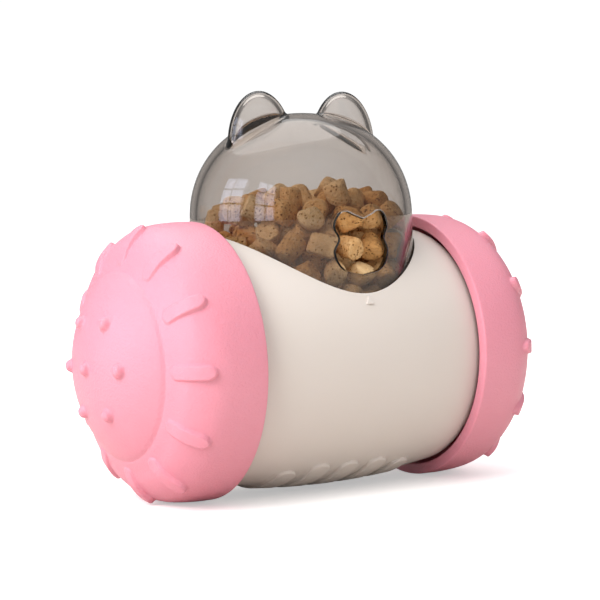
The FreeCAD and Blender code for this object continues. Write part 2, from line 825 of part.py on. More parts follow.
def treats_settled(places, reach):
    """Lets the treats sink together, push one another aside and come to rest."""
    apart = 2 * reach + treat_gap
    for turn in range(treat_sink_turns + treat_rest_turns):
        sink = treat_sink * max(0.0, 1 - turn / treat_sink_turns)
        places.sort(key=lambda p: p[2])
        for p in places:
            p[2] -= sink
        for i, p in enumerate(places):
            for q in places[i + 1:]:
                dz = q[2] - p[2]
                if dz > 2 * apart:
                    break
                dx, dy = q[0] - p[0], q[1] - p[1]
                gap = dx * dx + dy * dy + dz * dz
                if gap < apart * apart:
                    gap = math.sqrt(gap)
                    push = (apart - gap) / (2 * gap)
                    p[0] -= dx * push
                    p[1] -= dy * push
                    p[2] -= dz * push
                    q[0] += dx * push
                    q[1] += dy * push
                    q[2] += dz * push
            keep_in_head(p, reach)
    return places


def seat_direction(p, places):
    """Direction from a treat to the nearest other one."""
    others = [V(*q) - V(*p) for q in places if q is not p]
    return min(others, key=lambda d: d.Length).normalize()


def treats():
    """Short round pieces of dry food, each with its rounded edge on its neighbour."""
    pellet = rod(treat_r, treat_height, V(0, 0, -treat_height / 2), ZDIR)
    pellet = pellet.makeFillet(treat_round, [e for e in pellet.Edges
                                             if e.BoundBox.ZLength < tolerance])
    reach = treat_reach()
    places = treats_settled(treats_poured(reach), reach)
    edge_angle = math.degrees(math.atan2(treat_r - treat_round, treat_height / 2 - treat_round))
    pieces = []
    for i, p in enumerate(places):
        seat = FreeCAD.Rotation(ZDIR, seat_direction(p, places))
        piece = pellet.copy()
        piece.Placement = FreeCAD.Placement(
            V(*p), FreeCAD.Rotation(seat.multVec(ZDIR), treat_turn_step * i).multiply(seat)
            .multiply(FreeCAD.Rotation(YDIR, edge_angle)))
        pieces.append(piece)
    print("treats' top", round(max(p[2] for p in places) + reach, 2))
    return Part.Compound(pieces)


right_end, right_end_screws = barrel_end(), end_screws()
right_tread, right_core = wheel_tread(), wheel_core()
right_washer, right_screw = axle_washer(), axle_screw()
export(barrel_shell(), "barrel_shell")
export(right_end, "barrel_end_right")
export(mirrored(right_end), "barrel_end_left")
export(right_end_screws, "end_screws_right")
export(mirrored(right_end_screws), "end_screws_left")
export(right_tread, "wheel_tread_right")
export(mirrored(right_tread), "wheel_tread_left")
export(right_core, "wheel_core_right")
export(mirrored(right_core), "wheel_core_left")
export(right_washer, "axle_washer_right")
export(mirrored(right_washer), "axle_washer_left")
export(right_screw, "axle_screw_right")
export(mirrored(right_screw), "axle_screw_left")
export(counterweight(), "counterweight")
export(weight_clamp(), "weight_clamp")
export(weight_clamp_screws(), "weight_clamp_screws")
export(treat_hopper(), "treat_hopper")
export(hopper_screws(), "hopper_screws")
export(head_seal(), "head_seal")
export(treat_head(), "treat_head")
export(treats(), "treats")
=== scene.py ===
import bpy
import bmesh
import math
import numpy
import random
from mathutils import Matrix, Vector, geometry, noise


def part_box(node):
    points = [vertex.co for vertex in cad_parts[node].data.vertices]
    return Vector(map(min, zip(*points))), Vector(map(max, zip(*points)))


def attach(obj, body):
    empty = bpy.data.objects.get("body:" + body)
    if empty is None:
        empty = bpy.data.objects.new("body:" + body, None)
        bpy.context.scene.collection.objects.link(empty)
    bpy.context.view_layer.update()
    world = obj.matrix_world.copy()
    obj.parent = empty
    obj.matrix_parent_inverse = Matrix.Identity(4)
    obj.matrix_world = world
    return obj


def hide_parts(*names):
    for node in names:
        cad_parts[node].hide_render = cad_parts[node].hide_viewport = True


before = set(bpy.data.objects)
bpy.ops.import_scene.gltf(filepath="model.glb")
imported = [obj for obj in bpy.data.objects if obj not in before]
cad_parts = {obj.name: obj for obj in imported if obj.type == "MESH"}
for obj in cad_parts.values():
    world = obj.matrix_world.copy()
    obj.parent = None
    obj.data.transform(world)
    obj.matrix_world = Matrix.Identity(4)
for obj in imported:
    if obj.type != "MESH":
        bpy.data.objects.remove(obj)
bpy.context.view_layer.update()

# Counterweight
# A slug of grey iron in the barrel's belly that keeps the head up when the toy rolls.
# It is sand cast, so its skin is dark, dull and a little rough, and it lies on two cradles.

MM = 0.001


def linear(code):
    """Linear colour of an sRGB hex value."""
    parts = [int(code[i:i + 2], 16) / 255 for i in (1, 3, 5)]
    return [p / 12.92 if p <= 0.04045 else ((p + 0.055) / 1.055) ** 2.4 for p in parts] + [1.0]


def feed(tree, node, inputs):
    """Sets or links a shader node's inputs."""
    for name, value in inputs.items():
        if isinstance(value, bpy.types.NodeSocket):
            tree.links.new(value, node.inputs[name])
        else:
            node.inputs[name].default_value = value


def add(tree, kind, inputs=None, **settings):
    """A new shader node with its settings made and its inputs fed."""
    node = tree.nodes.new("ShaderNode" + kind)
    for name, value in settings.items():
        setattr(node, name, value)
    feed(tree, node, inputs or {})
    return node


def finish_named(name, inputs):
    """A new material with its shader's inputs fed: the material, its tree and its shader."""
    material = bpy.data.materials.new(name)
    material.use_nodes = True
    tree = material.node_tree
    shader = tree.nodes["Principled BSDF"]
    feed(tree, shader, inputs)
    return material, tree, shader


def speckle(tree, size, detail):
    """Noise in the piece's own space, with spots of a size in millimetres."""
    where = add(tree, "TexCoord").outputs["Object"]
    return add(tree, "TexNoise", {"Vector": where, "Scale": 1 / (size * MM),
                                  "Detail": detail}).outputs["Fac"]


def blend(tree, share, low, high):
    """A ramp from one sRGB colour to another."""
    ramp = add(tree, "ValToRGB", {"Fac": share})
    ramp.color_ramp.elements[0].color = linear(low)
    ramp.color_ramp.elements[1].color = linear(high)
    return ramp


def spread(tree, share, low, high):
    """A share from 0 to 1 spread between two values."""
    return add(tree, "MapRange", {"Value": share, "To Min": low, "To Max": high}).outputs["Result"]


def dented(tree, height, strength, depth):
    """Normals of a skin with dents of a depth in millimetres."""
    return add(tree, "Bump", {"Height": height, "Strength": strength,
                              "Distance": depth * MM}).outputs["Normal"]


def dress(names, material):
    """Gives CAD nodes their material."""
    for name in names:
        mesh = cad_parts[name].data
        mesh.materials.clear()
        mesh.materials.append(material)


# Sand leaves pits of half a millimetre, and the skin oxidises in patches a dozen times as wide.
cast_iron, tree, shader = finish_named("sand_cast_iron", {"Metallic": 1.0, "Roughness": 0.62})
tone = blend(tree, speckle(tree, 6, 3.0), "#4A4A4C", "#77777A")
feed(tree, shader, {"Base Color": tone.outputs["Color"],
                    "Normal": dented(tree, speckle(tree, 0.5, 2.0), 0.5, 0.15)})
dress(["counterweight"], cast_iron)

# Weight clamp
# A flat moulded strap over the counterweight, held down by one screw at each end.
# It is moulded in plain grey ABS, as parts that nobody sees often are.

# The tool leaves a faint spark-eroded texture of about 0.3 mm.
grey_abs, tree, shader = finish_named("grey_moulded_abs", {"Roughness": 0.42, "IOR": 1.54})
tone = blend(tree, speckle(tree, 9, 2.0), "#979694", "#A4A3A1")
feed(tree, shader, {"Base Color": tone.outputs["Color"],
                    "Normal": dented(tree, speckle(tree, 0.3, 1.0), 0.2, 0.03)})
dress(["weight_clamp"], grey_abs)

# Screws and washers
# Slotted pan-head tapping screws and the axles' washers, pressed from steel wire and strip.
# Barrel zinc plating leaves them bright, faintly blue and finely scuffed.

zinc_steel, tree, shader = finish_named("zinc_plated_steel", {"Metallic": 1.0})
scuffs = speckle(tree, 0.6, 4.0)
tone = blend(tree, scuffs, "#B4B9C2", "#D3D5D6")
feed(tree, shader, {"Base Color": tone.outputs["Color"],
                    "Roughness": spread(tree, scuffs, 0.2, 0.42),
                    "Normal": dented(tree, scuffs, 0.2, 0.05)})
dress(["weight_clamp_screws", "hopper_screws", "end_screws_left", "end_screws_right",
       "axle_screw_left", "axle_screw_right", "axle_washer_left", "axle_washer_right"], zinc_steel)

# Barrel, its end caps and the hopper
# One crowned shell with the head's round mouth in its top, closed by a cap at each end, and the
# floor under the treats. All are injection moulded in warm cream ABS with a satin, grained skin.

# The grain is about 0.15 mm on the real skin; it is drawn at 0.4 mm so that it shows.
cream_abs, tree, shader = finish_named("cream_moulded_abs", {
    "IOR": 1.54, "Subsurface Weight": 0.12, "Subsurface Radius": (1.0, 0.8, 0.6),
    "Subsurface Scale": 1.5 * MM})
tone = blend(tree, speckle(tree, 40, 2.0), "#D8D0C9", "#DCD4CE")
spark = speckle(tree, 0.4, 2.0)
feed(tree, shader, {"Base Color": tone.outputs["Color"],
                    "Roughness": spread(tree, spark, 0.4, 0.54),
                    "Normal": dented(tree, spark, 0.25, 0.03)})
dress(["barrel_shell", "barrel_end_left", "barrel_end_right", "treat_hopper"], cream_abs)

# Belly ribs
# Five low flat ribs with round ends that run round the barrel's belly, the outer two shorter.
# They are part of the shell's moulding, drawn here longer and crisper than in the CAD, as pictured.

rib_count, rib_pitch, rib_half_width, rib_height = 5, 12.3, 4.0, 1.4
rib_sweep, rib_outer_sweep = 78.0, 68.0
rib_edge, rib_sink, rib_tip = 0.4, 0.3, 0.02
rib_cells_across, rib_cells_along = 32, 110
barrel_mid_r, barrel_crown, barrel_crown_x = 48.2, 3.25, 45.4


def piece(name, bm, material, body, slot, *nodes):
    """Turns a mesh in millimetres into a finished piece that rides on a body."""
    bmesh.ops.scale(bm, vec=(MM, MM, MM), verts=bm.verts)
    for face in bm.faces:
        face.smooth = True
    mesh = bpy.data.meshes.new(name)
    bm.to_mesh(mesh)
    bm.free()
    thing = bpy.data.objects.new(name, mesh)
    bpy.context.scene.collection.objects.link(thing)
    mesh.materials.append(material)
    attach(thing, body)
    if nodes:
        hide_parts(*nodes)
    return thing


def eased(share):
    """A share from 0 to 1 with soft ends."""
    share = min(max(share, 0), 1)
    return share * share * (3 - 2 * share)


tread_low, tread_high = (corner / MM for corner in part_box("wheel_tread_right"))
axle_z = (tread_low.z + tread_high.z) / 2
bm = bmesh.new()
for i in range(rib_count):
    middle = (i - (rib_count - 1) / 2) * rib_pitch
    sweep = rib_outer_sweep if i in (0, rib_count - 1) else rib_sweep
    half_length = barrel_mid_r * math.radians(sweep / 2)
    grid = bmesh.ops.create_grid(bm, x_segments=rib_cells_across, y_segments=rib_cells_along,
                                 size=1)["verts"]
    for v in grid:
        along = v.co.y * half_length
        over = max(abs(along) - half_length + rib_half_width, 0)
        half_width = math.sqrt(max(rib_half_width ** 2 - over ** 2, 0))
        across = v.co.x * max(half_width, rib_tip)
        inside = rib_half_width - math.hypot(across, over)
        x = middle + across
        r = barrel_mid_r - barrel_crown * (x / barrel_crown_x) ** 2
        r += rib_height * eased(inside / rib_edge) - rib_sink
        turn = along / barrel_mid_r
        v.co = (x, r * math.sin(turn), axle_z - r * math.cos(turn))
bmesh.ops.recalc_face_normals(bm, faces=bm.faces)
piece("belly_ribs", bm, cream_abs, "root", "cream_abs")

# Wheel cores
# The stiff hub, web and rim inside each soft wheel, which turn on the barrel's stub axles.
# They are moulded in rose ABS, a little redder than the rubber over them.

rose_abs, tree, shader = finish_named("rose_moulded_abs", {"Roughness": 0.4, "IOR": 1.54})
tone = blend(tree, speckle(tree, 14, 2.0), "#D65F6E", "#DE6878")
feed(tree, shader, {"Base Color": tone.outputs["Color"],
                    "Normal": dented(tree, speckle(tree, 0.4, 1.0), 0.2, 0.03)})
dress(["wheel_core_left", "wheel_core_right"], rose_abs)

# Wheel treads
# Each wheel's soft cup: a round band with a thicker lip, a shoulder with twelve flat-topped bars
# and a domed middle with seven nubs. It is thermoplastic rubber, so all its edges are soft.

rim_x = tread_low.x
tread_wall, rim_wall, rim_round = 3.35, 4.2, 0.7
shoulder_line = [(0, 50.2), (8.1, 50.15), (17.1, 49.0), (22.6, 46.0), (26.4, 42.0), (28.75, 37.5),
                 (31.1, 33.0)]
wall_ways = [(0.3, 0.95), (0.6, 0.8), (0.8, 0.6), (0.89, 0.46), (0.87, 0.5)]
dome_foot, dome_rise = 31.5, 12.7
crease_line = [(31.95, 32.45), (31.1, 33.15), (30.62, 33.6), (30.45, 34.1)]
crease_lean, hollow_lean, crease_room = 2, 3, 0.6
bar_count, bar_half, bar_edge = 12, 2.55, 0.35
bar_out_r, bar_in_r, bar_room = 47.9, 35.7, 0.8
bar_high, bar_low = 1.9, 0.5
bar_in_end, bar_out_end, bar_end_width = 0.8, 0.6, 0.75
bar_zone, bar_cells, gap_cells = 12, 28, 8
nub_line = [(0, 2.3), (0.95, 2.15), (1.7, 1.65), (2.2, 0.85), (2.55, 0.2), (3.1, -0.15)]
nub_ring_r, nub_ring_count, nub_cells = 18.2, 6, 24
coarse_step, fine_step, crease_step = 2.0, 0.4, 0.3
weld = 0.002


def smooth_path(points, step):
    """Points about step apart on a smooth curve through the given ones."""
    points = [Vector((x, y, 0)) for x, y in points]
    ends = [2 * points[0] - points[1]] + points + [2 * points[-1] - points[-2]]
    path = [points[0]]
    for before, a, b, after in zip(ends, ends[1:], ends[2:], ends[3:]):
        count = max(2, round((b - a).length / step) + 1)
        reach = (b - a).length / 3
        out = a + (b - before).normalized() * reach
        back = b - (after - a).normalized() * reach
        path += geometry.interpolate_bezier(a, out, back, b, count)[1:]
    return [(p.x, p.y) for p in path]


def arc_path(centre, radius, start, end, count):
    """Points on an arc between two angles in degrees, measured from the first axis."""
    turns = [math.radians(start + (end - start) * i / count) for i in range(count + 1)]
    return [(centre[0] + radius * math.cos(t), centre[1] + radius * math.sin(t)) for t in turns]


def turned(bm, line, turns):
    """Turns a line of (x, r) about the axle in steps of (angle, count); notes each one's row."""
    rows = bm.verts.layers.int.new("row")
    verts = [bm.verts.new((x, 0, r)) for x, r in line]
    for row, v in enumerate(verts):
        v[rows] = row
    last = verts + [bm.edges.new(pair) for pair in zip(verts, verts[1:])]
    for angle, count in turns:
        last = bmesh.ops.spin(bm, geom=last, cent=(0, 0, 0), axis=(1, 0, 0),
                              angle=math.radians(angle), steps=count)["geom_last"]
    bmesh.ops.remove_doubles(bm, verts=bm.verts, dist=weld)
    return rows


def bar_rise(r, lean):
    """How far a bar stands out at a radius and at an angle from the bar's own middle line."""
    share = min(max((bar_out_r - r) / (bar_out_r - bar_in_r), 0), 1)
    along = min(max(r, bar_in_r + bar_half * bar_in_end), bar_out_r - bar_half * bar_out_end)
    inside = bar_half - math.hypot((r - along) / bar_end_width, r * math.sin(lean))
    return (bar_high + (bar_low - bar_high) * share) * eased(inside / (2 * bar_edge) + 0.5)


dome_base_r = shoulder_line[-1][1]
cap_r = (dome_base_r ** 2 + dome_rise ** 2) / (2 * dome_rise)
cap_x = rim_x + dome_foot + dome_rise - cap_r
cap_lean = math.degrees(math.asin(dome_base_r / cap_r))
band_r = shoulder_line[0][1]
shoulder = [(rim_x + x, r) for x, r in shoulder_line]
coarse, fine = smooth_path(shoulder, coarse_step), smooth_path(shoulder, fine_step)
outside = arc_path((rim_x + rim_round, band_r - rim_round), rim_round, 180, 90, 4)
outside += [p for p in coarse if p[1] > bar_out_r + bar_room and p[0] > rim_x + 2 * rim_round]
outside += [p for p in fine if bar_in_r - bar_room < p[1] <= bar_out_r + bar_room]
outside += [p for p in coarse if crease_line[-1][1] + crease_room < p[1] <= bar_in_r - bar_room]
dome = arc_path((cap_x, 0), cap_r, cap_lean - crease_lean, 0, 30)
crease = [(rim_x + x, r) for x, r in crease_line[::-1]]
outside += smooth_path([outside[-1]] + crease + [dome[0]], crease_step)[1:] + dome[1:]
inside = [(x - tread_wall * a, r - tread_wall * b) for (x, r), (a, b) in
          zip(shoulder[-len(wall_ways):], wall_ways)]
inside = arc_path((cap_x, 0), cap_r - tread_wall, 0, cap_lean - hollow_lean, 12) + inside[::-1]
inside += arc_path((rim_x + rim_round, band_r - rim_wall + rim_round), rim_round, 270, 180, 3)

# The rubber copies the tool's pebble grain of 0.35 mm; it is drawn at 0.8 mm so that it shows.
pink_tpr, tree, shader = finish_named("pink_thermoplastic_rubber", {
    "Specular IOR Level": 1.0, "IOR": 1.5, "Subsurface Weight": 0.15,
    "Subsurface Radius": (1.0, 0.35, 0.3), "Subsurface Scale": 1.5 * MM})
tone = blend(tree, speckle(tree, 30, 2.0), "#E38CA0", "#E894A7")
pebble = speckle(tree, 0.8, 3.0)
feed(tree, shader, {"Base Color": tone.outputs["Color"],
                    "Roughness": spread(tree, pebble, 0.34, 0.54),
                    "Normal": dented(tree, pebble, 0.8, 0.27)})

nub = bmesh.new()
verts = [nub.verts.new((x, 0, r)) for r, x in smooth_path(nub_line, fine_step)]
edges = [nub.edges.new(pair) for pair in zip(verts, verts[1:])]
bmesh.ops.spin(nub, geom=verts + edges, cent=(0, 0, 0), axis=(1, 0, 0), angle=2 * math.pi,
               steps=nub_cells, use_merge=True)
bmesh.ops.remove_doubles(nub, verts=nub.verts, dist=weld)
nub_mesh = bpy.data.meshes.new("nub")
nub.to_mesh(nub_mesh)
nub.free()
places = [Vector((1, 0, 0))]
for i in range(nub_ring_count):
    turn = 2 * math.pi * i / nub_ring_count
    places.append(Vector((math.sqrt(cap_r ** 2 - nub_ring_r ** 2), nub_ring_r * math.cos(turn),
                          nub_ring_r * math.sin(turn))).normalized())
nubs = bmesh.new()
for place in places:
    start = len(nubs.verts)
    nubs.from_mesh(nub_mesh)
    nubs.verts.ensure_lookup_table()
    lean = place.to_track_quat("X", "Z").to_matrix()
    for v in nubs.verts[start:]:
        v.co = lean @ v.co + place * cap_r + Vector((cap_x, 0, 0))
nubs.to_mesh(nub_mesh)
nubs.free()

bar_pitch = 360 / bar_count
bar_gap = (bar_pitch - bar_zone, gap_cells)
half_bar = (bar_zone / 2, bar_cells // 2)
bm = bmesh.new()
line = inside + outside
rows = turned(bm, line, [half_bar] + [bar_gap, (bar_zone, bar_cells)] * (bar_count - 1) +
              [bar_gap, half_bar])
for v in bm.verts:
    row, r = v[rows], math.hypot(v.co.y, v.co.z)
    if row < len(inside) or not bar_in_r - bar_room < r < bar_out_r + bar_room:
        continue
    lean = math.remainder(math.atan2(v.co.y, v.co.z), math.radians(bar_pitch))
    dx, dr = (b - a for a, b in zip(line[row - 1], line[row + 1]))
    rise = bar_rise(r, lean) / math.hypot(dx, dr)
    v.co += Vector((-dr, dx * v.co.y / r, dx * v.co.z / r)) * rise
    v.co.yz *= min(1, band_r / v.co.yz.length)
bm.from_mesh(nub_mesh)
bmesh.ops.translate(bm, verts=bm.verts, vec=(0, 0, axle_z))
for side, sign in (("right", 1), ("left", -1)):
    tread = bm.copy()
    bmesh.ops.scale(tread, vec=(sign, 1, 1), verts=tread.verts)
    bmesh.ops.recalc_face_normals(tread, faces=tread.faces)
    piece("soft_tread_" + side, tread, pink_tpr, side + "_wheel", "pink_tpr", "wheel_tread_" + side)
bm.free()

# Head seal
# The soft ring that the head's foot presses on when it is locked in.
# It is moulded in clear silicone, which looks milky and satin.

silicone, tree, shader = finish_named("milky_silicone", {
    "Roughness": 0.4, "IOR": 1.41, "Subsurface Weight": 0.4, "Subsurface Scale": 1.0 * MM})
tone = blend(tree, speckle(tree, 3, 2.0), "#D6D5D0", "#E2E1DD")
feed(tree, shader, {"Base Color": tone.outputs["Color"]})
dress(["head_seal"], silicone)

# Head
# The see-through hopper: a round skirt with two lugs on its foot, and a dome with two hollow ears
# and an ear-shaped outlet. It is moulded in one piece of smoke-tinted polycarbonate and polished,
# so its walls are dark where they are seen edge on.

head_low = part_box("treat_head")[0].z / MM
foot_r, foot_top = 40.15, head_low + 7.8
head_r, head_wall = 41.45, 2.6
dome_z = axle_z + 49.8
dome_height, dome_power = 39.3, 2.136
ear_place, ear_half, ear_wall = (18.2, -2.2, axle_z + 77.3), (12.9, 8.4, 19.79), 2.2
crease_blend, edge_blend = 1.5, 0.8
outlet_z = axle_z + 37.8
outlet_side = [(0, -7.9), (7.6, -5.85), (10.9, 0), (9.2, 4.9), (10.9, 9.4), (9.2, 13.45),
               (6.8, 14.5), (4.4, 13.45), (0, 11.7)]
outlet_mid_z, outlet_near_x, outlet_near_z, outlet_far = outlet_z + 3, 14, 15, 9.0
lug_half, lug_low, lug_height, lug_in_r = 6.45, head_low + 3.0, 2.6, 39.4
skirt_rings, dome_rings, head_cells, ear_cells = range(70, 100, 5), 26, 144, (72, 48)
window_reach, cut_low, cut_r = 60, head_low - 1, head_r + 2
edge_limits = (1.2, 0.6, 0.6)
on_skin, probe, least_slope, settle_rounds, head_weld = 0.001, 0.02, 0.3, 4, 0.01


def soft_min(a, b, reach):
    """The smaller of two distances, blended where they are nearly alike."""
    share = numpy.maximum(reach - abs(a - b), 0) / reach
    return numpy.minimum(a, b) - share * share * reach / 4


def skin_gap(p, wall, ear_in):
    """About how far points lie outside the head's skin, moved in by the walls."""
    high = numpy.maximum(p[:, 2] - dome_z, 0) / (dome_height - wall)
    wide = numpy.hypot(p[:, 0], p[:, 1]) / (head_r - wall)
    gap = ((wide ** dome_power + high ** dome_power) ** (1 / dome_power) - 1) * (head_r - wall)
    for sign in (-1, 1):
        half = numpy.array(ear_half) - ear_in
        q = (p - numpy.array(ear_place) * (sign, 1, 1)) / half
        far = numpy.linalg.norm(q, axis=1)
        ear = far * (far - 1) / numpy.linalg.norm(q / half, axis=1)
        gap = soft_min(gap, ear, crease_blend)
    return gap


def outlet_gap(p):
    """How far points in front lie outside the outlet's outline."""
    near = ((p[:, 1] < 0) & (abs(p[:, 0]) < outlet_near_x) &
            (abs(p[:, 2] - outlet_mid_z) < outlet_near_z))
    gap = numpy.full(len(p), outlet_far)
    x, z = p[near, 0], p[near, 2] - outlet_z
    best, odd = numpy.full(len(x), outlet_far ** 2), numpy.zeros(len(x), bool)
    for (ax, az), (bx, bz) in zip(outlet_line, outlet_line[1:] + outlet_line[:1]):
        share = ((x - ax) * (bx - ax) + (z - az) * (bz - az)) / ((bx - ax) ** 2 + (bz - az) ** 2)
        share = numpy.clip(share, 0, 1)
        best = numpy.minimum(best, (x - ax - share * (bx - ax)) ** 2 +
                             (z - az - share * (bz - az)) ** 2)
        if az != bz:
            odd ^= ((az > z) != (bz > z)) & (x < (bx - ax) * (z - az) / (bz - az) + ax)
    gap[near] = numpy.where(odd, -1, 1) * numpy.sqrt(best)
    return gap


def head_gap(p):
    """How far points lie outside the head's material, with its creases and edges rounded."""
    gap = numpy.maximum(skin_gap(p, 0, 0), -skin_gap(p, head_wall, ear_wall))
    foot = numpy.minimum(foot_top - p[:, 2], numpy.hypot(p[:, 0], p[:, 1]) - foot_r)
    lug = numpy.maximum(abs(p[:, 1]) - lug_half,
                        abs(p[:, 2] - lug_low - lug_height / 2) - lug_height / 2)
    foot = numpy.minimum(foot, lug)
    gap = -soft_min(-gap, outlet_gap(p), edge_blend)
    gap = -soft_min(-gap, -foot, edge_blend / 2)
    return -soft_min(-gap, p[:, 2] - head_low, edge_blend / 2)


def slope(p):
    """Direction in which the head's distance grows fastest, and how fast it grows."""
    lean = numpy.stack([(head_gap(p + d) - head_gap(p - d)) / (2 * probe)
                        for d in numpy.eye(3) * probe], axis=1)
    return lean, numpy.linalg.norm(lean, axis=1, keepdims=True)


def turned_up(line):
    """A closed solid from a line of (r, z) turned about the head's middle."""
    bm = bmesh.new()
    verts = [bm.verts.new((r, 0, z)) for r, z in line]
    edges = [bm.edges.new(pair) for pair in zip(verts, verts[1:])]
    bmesh.ops.spin(bm, geom=verts + edges, cent=(0, 0, 0), axis=(0, 0, 1), angle=2 * math.pi,
                   steps=head_cells, use_merge=True)
    bmesh.ops.remove_doubles(bm, verts=bm.verts, dist=weld)
    return bm


def blank(bm):
    """A closed mesh as a loose object, to join or cut others with."""
    bmesh.ops.recalc_face_normals(bm, faces=bm.faces)
    mesh = bpy.data.meshes.new("blank")
    bm.to_mesh(mesh)
    bm.free()
    thing = bpy.data.objects.new("blank", mesh)
    bpy.context.scene.collection.objects.link(thing)
    return thing


def head_blank(wall, ear_in, low):
    """Blanks of the dome with its skirt and of both ears, moved in by the walls."""
    line = [(0, low), (head_r - wall, low)]
    line += [(head_r - wall, z) for z in skirt_rings]
    for i in range(dome_rings + 1):
        z = (dome_height - wall) * math.sin(math.pi / 2 * i / dome_rings)
        share = max(1 - (z / (dome_height - wall)) ** dome_power, 0)
        line.append(((head_r - wall) * share ** (1 / dome_power), dome_z + z))
    blanks = [blank(turned_up(line))]
    for sign in (-1, 1):
        bm = bmesh.new()
        bmesh.ops.create_uvsphere(bm, u_segments=ear_cells[0], v_segments=ear_cells[1], radius=1)
        bmesh.ops.scale(bm, vec=[h - ear_in for h in ear_half], verts=bm.verts)
        bmesh.ops.translate(bm, vec=Vector(ear_place) * Vector((sign, 1, 1)), verts=bm.verts)
        blanks.append(blank(bm))
    return blanks


outlet_line = smooth_path(outlet_side, 0.5)
outlet_line += [(-x, z) for x, z in outlet_line[-2:0:-1]]
body, *ears = head_blank(0, 0, head_low)
hollows = head_blank(head_wall, ear_wall, head_low - 5)
bm = bmesh.new()
back = bm.faces.new([bm.verts.new((x, -window_reach, outlet_z + z)) for x, z in outlet_line])
drawn = bmesh.ops.extrude_face_region(bm, geom=[back])["geom"]
front = [v for v in drawn if isinstance(v, bmesh.types.BMVert)]
bmesh.ops.translate(bm, vec=(0, window_reach, 0), verts=front)
window = blank(bm)
relief = blank(turned_up([(foot_r, cut_low), (cut_r, cut_low), (cut_r, foot_top),
                          (foot_r, foot_top), (foot_r, cut_low)]))
lugs = []
for sign in (-1, 1):
    bm = bmesh.new()
    bmesh.ops.create_cube(bm, size=1)
    bmesh.ops.scale(bm, vec=(head_r - lug_in_r, 2 * lug_half, lug_height), verts=bm.verts)
    middle = (sign * (head_r + lug_in_r) / 2, 0, lug_low + lug_height / 2)
    bmesh.ops.translate(bm, vec=middle, verts=bm.verts)
    lugs.append(blank(bm))
tools = [(ear, "UNION") for ear in ears]
tools += [(hollow, "DIFFERENCE") for hollow in hollows + [window, relief]]
tools += [(lug, "UNION") for lug in lugs]
for tool, operation in tools:
    step = body.modifiers.new("step", "BOOLEAN")
    step.object, step.operation, step.solver = tool, operation, "EXACT"
carved = body.evaluated_get(bpy.context.evaluated_depsgraph_get())
bm = bmesh.new()
bm.from_mesh(carved.to_mesh())
bpy.data.objects.remove(body)
for tool, operation in tools:
    bpy.data.objects.remove(tool)
bmesh.ops.remove_doubles(bm, verts=bm.verts, dist=head_weld)
bmesh.ops.triangulate(bm, faces=bm.faces)
# Faces near creases and edges are made small, and all points are drawn onto the rounded skin.
for longest in edge_limits:
    points = numpy.array([v.co[:] for v in bm.verts])
    soft = abs(head_gap(points)) > on_skin
    bm.verts.index_update()
    edges = [e for e in bm.edges if e.calc_length() > longest and
             (soft[e.verts[0].index] or soft[e.verts[1].index])]
    bmesh.ops.subdivide_edges(bm, edges=edges, cuts=1)
    bmesh.ops.triangulate(bm, faces=bm.faces)
points = numpy.array([v.co[:] for v in bm.verts])
for _ in range(settle_rounds):
    lean, steep = slope(points)
    points -= lean * (head_gap(points)[:, None] / numpy.maximum(steep, least_slope) ** 2)
for v, p in zip(bm.verts, points):
    v.co = p
bmesh.ops.remove_doubles(bm, verts=bm.verts, dist=head_weld)
# Slivers that closed up on each other leave pairs of faces on the same points.
alike = {}
for face in bm.faces:
    alike.setdefault(frozenset(face.verts), []).append(face)
flaps = [f for faces in alike.values() if len(faces) > 1 for f in faces]
bmesh.ops.delete(bm, geom=flaps, context="FACES")
lean, steep = slope(numpy.array([v.co[:] for v in bm.verts]))

smoke_pc, tree, shader = finish_named("smoke_polycarbonate", {
    "Roughness": 0.015, "IOR": 1.585, "Transmission Weight": 1.0,
    "Base Color": linear("#FFFFFF")})
tint = add(tree, "VolumeAbsorption", {"Color": (0.35, 0.25, 0.17, 1.0), "Density": 195.0})
# Lamps reach the food through the walls. They pass a little more than the real share, for the light
# that the walls bend in from the sides.
ray = add(tree, "LightPath")
through = add(tree, "BsdfTransparent", {"Color": linear("#F7F5F2")})
both = add(tree, "MixShader", {0: ray.outputs["Is Shadow Ray"], 1: shader.outputs["BSDF"],
                               2: through.outputs["BSDF"]})
feed(tree, tree.nodes["Material Output"], {"Surface": both.outputs["Shader"],
                                           "Volume": tint.outputs["Volume"]})
head = piece("smoke_head", bm, smoke_pc, "head", "smoke_polycarbonate", "treat_head")
head.data.normals_split_custom_set_from_vertices((lean / steep).tolist())

# Treats
# Baked pieces of dry food that fill the head: short extruded cylinders, puffed and pressed in the
# oven. Their crust is rough and porous, and each piece took a little more or less heat.

treat_r, treat_half, treat_round = 5.1, 4.6, 0.9
treat_sides, treat_inset = 9, 1.4
treat_reach, treat_apart, treat_room = 6.1, 10.0, 4.6
treat_seed = 11
swell_low, swell_high = 0.86, 1.1
puff_scale, puff_depth, lump_scale, lump_depth = 0.2, 0.9, 0.7, 0.4
flat_count, flat_low, flat_high, flat_press = 4, 3.5, 4.6, 0.9
noise_reach = 99
pile_z, pile_rise, pile_r, pile_step = 105.5, 7.0, 33.0, 1.5
glass_room = 0.3

